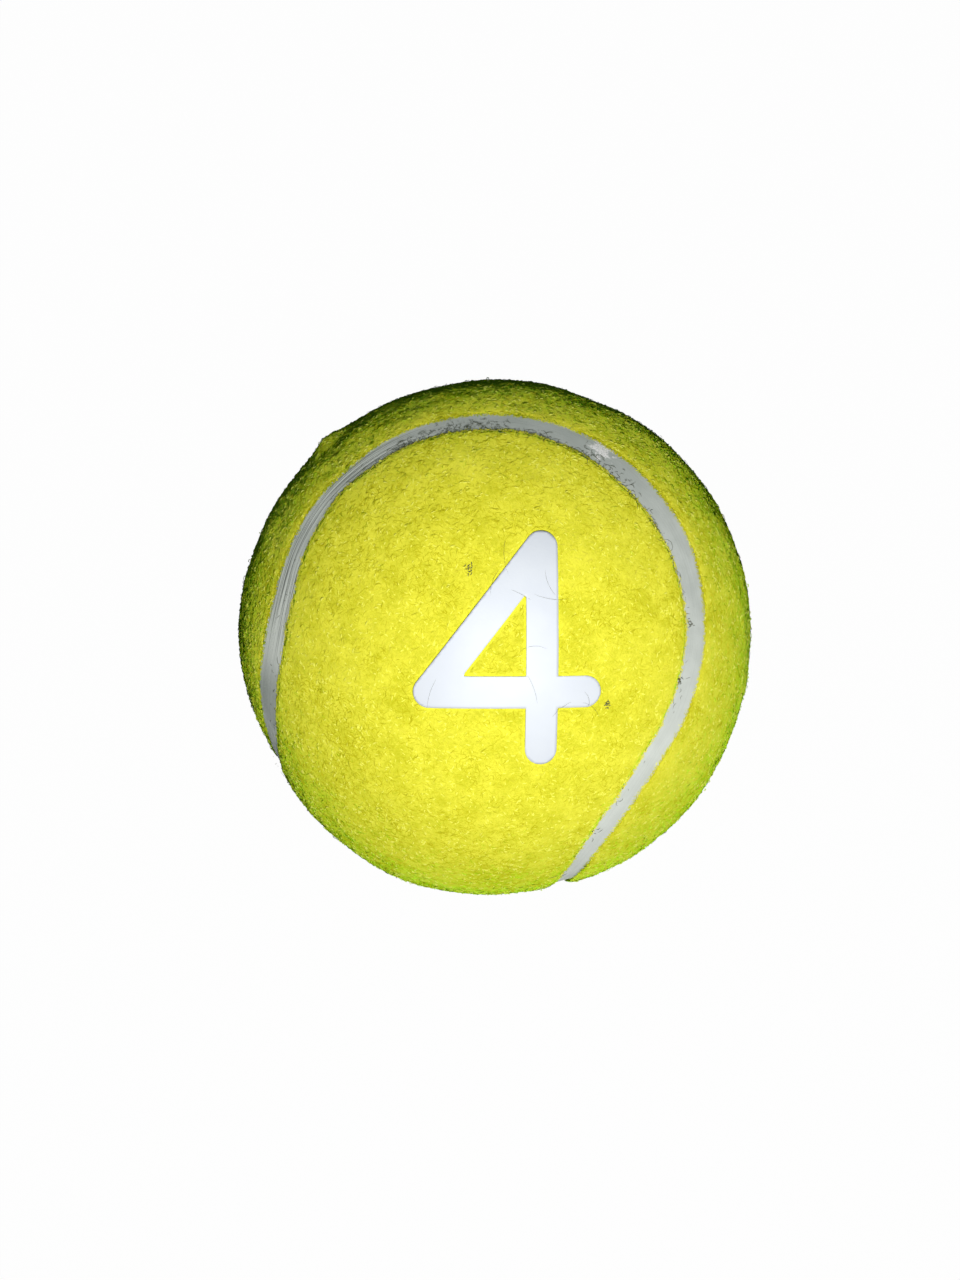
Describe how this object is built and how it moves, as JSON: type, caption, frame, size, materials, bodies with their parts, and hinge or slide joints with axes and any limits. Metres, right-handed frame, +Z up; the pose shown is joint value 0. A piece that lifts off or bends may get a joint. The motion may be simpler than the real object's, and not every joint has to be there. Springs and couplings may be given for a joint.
{
  "type": "felt practice ball",
  "caption": "Hollow rubber ball under two interlocking felt panels, with a recessed grey rubber seam and a plain number pressed on.",
  "frame": {"origin": "centre of the ball", "axes": "+Z up as the ball lies on a table; the numbered lobe faces -Y and up, where the picture sees it"},
  "size_m": [0.066, 0.066, 0.066],
  "materials": {
    "core_rubber": "moulded dark rubber, matte",
    "cement": "dried rubber cement, tan, dull",
    "felt": "fluorescent yellow-green needled felt with a raised nap",
    "seam_rubber": "grey rubber, matte, lightly scuffed",
    "number_film": "thin white heat-pressed film, smooth matte"
  },
  "bodies": {
    "root": {"core_half_a": "core_rubber", "core_half_b": "core_rubber", "core_joint_cement": "cement", "panel_cement_a": "cement", "panel_cement_b": "cement", "felt_panel_a": "felt", "felt_panel_b": "felt", "seam_strip": "seam_rubber", "number_film": "number_film"}
  },
  "joints": []
}
